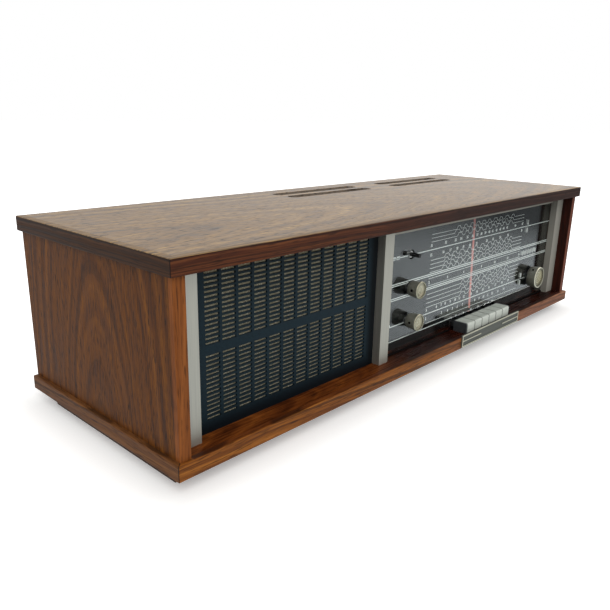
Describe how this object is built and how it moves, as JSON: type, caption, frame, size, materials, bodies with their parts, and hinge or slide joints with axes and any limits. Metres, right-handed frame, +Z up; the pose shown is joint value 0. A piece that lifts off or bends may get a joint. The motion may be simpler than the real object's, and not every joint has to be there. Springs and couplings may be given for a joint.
{
  "type": "table radio",
  "caption": "Long, low wooden table radio with a slotted grille on the left, a dark glass dial with a pointer, turning knobs and piano keys.",
  "frame": {"origin": "on the floor, under the middle of the cabinet", "axes": "+X to the radio's right as seen from the front, +Y to the back, +Z up; the dial faces -Y"},
  "size_m": [0.63, 0.2106, 0.1616],
  "materials": {
    "board_veneer": "satin varnish",
    "edge_lipping": "satin varnish",
    "side_veneer": "satin varnish",
    "plain_wood": "unfinished",
    "chipboard": "unfinished",
    "hardboard": "unfinished",
    "satin_aluminium": "satin",
    "grille_paint": "satin",
    "speaker_fabric": "woven",
    "dial_glass": "polished",
    "black_paint": "matt",
    "galvanised_steel": "dull",
    "cone_paper": "matt",
    "magnet_iron": "rough",
    "screw_steel": "plain",
    "pointer_red": "matt",
    "cord_textile": "braided",
    "pulley_brass": "turned",
    "drum_plastic": "moulded",
    "flywheel_iron": "turned",
    "knob_plastic": "moulded",
    "inlay_brass": "spun",
    "key_plastic": "moulded",
    "cheek_plastic": "moulded",
    "phenolic": "moulded",
    "can_aluminium": "drawn",
    "valve_glass": "polished",
    "core_steel": "dipped",
    "lamp_glass": "polished",
    "inlet_bakelite": "moulded"
  },
  "bodies": {
    "cabinet": {"baffle_board": "chipboard", "board_lippings": "edge_lipping", "bottom_board": "board_veneer", "centre_post": "satin_aluminium", "chassis": "galvanised_steel", "dial_backplate": "black_paint", "dial_glass": "dial_glass", "dial_lamps": "lamp_glass", "dial_top_rail": "satin_aluminium", "drive_cord": "cord_textile", "front_plate": "satin_aluminium", "gang_frame": "galvanised_steel", "grille_panel": "grille_paint", "if_cans": "can_aluminium", "key_cheeks": "cheek_plastic", "key_frame": "galvanised_steel", "left_post": "satin_aluminium", "left_side_panel": "side_veneer", "mains_inlet": "inlet_bakelite", "partition": "chipboard", "plinth_battens": "plain_wood", "potentiometers": "can_aluminium", "rear_battens": "plain_wood", "rear_cover": "hardboard", "rear_cover_screws": "screw_steel", "right_post": "satin_aluminium", "right_side_panel": "side_veneer", "shaft_bushes": "pulley_brass", "side_lippings": "edge_lipping", "socket_strip": "phenolic", "speaker_basket": "galvanised_steel", "speaker_cloth": "speaker_fabric", "speaker_cone": "cone_paper", "speaker_magnet": "magnet_iron", "speaker_screws": "screw_steel", "top_board": "board_veneer", "transformers": "core_steel", "valves": "valve_glass"},
    "tuning": {"tuning_shaft": "galvanised_steel", "flywheel": "flywheel_iron", "tuning_knob": "knob_plastic", "tuning_knob_inlay": "inlay_brass"},
    "drum": {"drive_drum": "drum_plastic"},
    "pulley_left": {"left_pulley": "pulley_brass"},
    "pulley_right": {"right_pulley": "pulley_brass"},
    "pointer": {"pointer": "pointer_red"},
    "rotor": {"gang_rotor": "can_aluminium"},
    "upper_control": {"upper_spindle": "black_paint"},
    "middle_control": {"middle_spindle": "galvanised_steel", "middle_knob": "knob_plastic", "middle_knob_inlay": "inlay_brass"},
    "lower_control": {"lower_spindle": "galvanised_steel", "lower_knob": "knob_plastic", "lower_knob_inlay": "inlay_brass"},
    "key_1": {"key_1": "key_plastic"},
    "key_2": {"key_2": "key_plastic"},
    "key_3": {"key_3": "key_plastic"},
    "key_4": {"key_4": "key_plastic"},
    "key_5": {"key_5": "key_plastic"},
    "key_6": {"key_6": "key_plastic"}
  },
  "joints": [
    {"name": "tuning_turn", "type": "hinge", "parent": "cabinet", "child": "tuning", "pos_m": [0.2445, -0.0807, 0.052], "axis": [0, 1, 0], "range_deg": [-1246.18, 1948.06]},
    {"name": "pointer_slide", "type": "slide", "parent": "cabinet", "child": "pointer", "axis": [1, 0, 0], "range_m": [-0.0871, 0.1361]},
    {"name": "drum_turn", "type": "hinge", "parent": "cabinet", "child": "drum", "pos_m": [0.185, -0.0652, 0.078], "axis": [0, 1, 0], "range_deg": [-118.73, 185.58]},
    {"name": "pulley_left_turn", "type": "hinge", "parent": "cabinet", "child": "pulley_left", "pos_m": [-0.009, -0.0652, 0.128], "axis": [0, 1, 0], "range_deg": [-623.14, 974.08]},
    {"name": "pulley_right_turn", "type": "hinge", "parent": "cabinet", "child": "pulley_right", "pos_m": [0.275, -0.0652, 0.128], "axis": [0, 1, 0], "range_deg": [-623.14, 974.08]},
    {"name": "rotor_turn", "type": "hinge", "parent": "cabinet", "child": "rotor", "pos_m": [0.185, -0.0137, 0.078], "axis": [0, 1, 0], "range_deg": [-70.27, 109.83]},
    {"name": "upper_control_turn", "type": "hinge", "parent": "cabinet", "child": "upper_control", "pos_m": [-0.0275, -0.0807, 0.119], "axis": [0, 1, 0], "range_deg": [-135, 135]},
    {"name": "middle_control_turn", "type": "hinge", "parent": "cabinet", "child": "middle_control", "pos_m": [-0.0275, -0.0807, 0.0865], "axis": [0, 1, 0], "range_deg": [-135, 135]},
    {"name": "lower_control_turn", "type": "hinge", "parent": "cabinet", "child": "lower_control", "pos_m": [-0.0275, -0.0807, 0.0543], "axis": [0, 1, 0], "range_deg": [-135, 135]},
    {"name": "key_1_press", "type": "hinge", "parent": "cabinet", "child": "key_1", "pos_m": [0.06535, -0.0537, 0.0295], "axis": [1, 0, 0], "range_deg": [0, 4.3], "stiffness_Nm_per_rad": 0.6, "springref_deg": -4.01},
    {"name": "key_2_press", "type": "hinge", "parent": "cabinet", "child": "key_2", "pos_m": [0.08115, -0.0537, 0.0295], "axis": [1, 0, 0], "range_deg": [0, 4.3], "stiffness_Nm_per_rad": 0.6, "springref_deg": -4.01},
    {"name": "key_3_press", "type": "hinge", "parent": "cabinet", "child": "key_3", "pos_m": [0.09695, -0.0537, 0.0295], "axis": [1, 0, 0], "range_deg": [0, 4.3], "stiffness_Nm_per_rad": 0.6, "springref_deg": -4.01},
    {"name": "key_4_press", "type": "hinge", "parent": "cabinet", "child": "key_4", "pos_m": [0.11275, -0.0537, 0.0295], "axis": [1, 0, 0], "range_deg": [0, 4.3], "stiffness_Nm_per_rad": 0.6, "springref_deg": -4.01},
    {"name": "key_5_press", "type": "hinge", "parent": "cabinet", "child": "key_5", "pos_m": [0.12855, -0.0537, 0.0295], "axis": [1, 0, 0], "range_deg": [0, 4.3], "stiffness_Nm_per_rad": 0.6, "springref_deg": -4.01},
    {"name": "key_6_press", "type": "hinge", "parent": "cabinet", "child": "key_6", "pos_m": [0.14435, -0.0537, 0.0295], "axis": [1, 0, 0], "range_deg": [0, 4.3], "stiffness_Nm_per_rad": 0.6, "springref_deg": -4.01}
  ],
  "couplings": [
    {"joint": "pointer_slide", "follows": "tuning_turn", "m_per_rad": 0.004},
    {"joint": "drum_turn", "follows": "tuning_turn", "ratio": 0.095238},
    {"joint": "pulley_left_turn", "follows": "tuning_turn", "ratio": 0.5},
    {"joint": "pulley_right_turn", "follows": "tuning_turn", "ratio": 0.5},
    {"joint": "rotor_turn", "follows": "tuning_turn", "ratio": 0.056351}
  ]
}
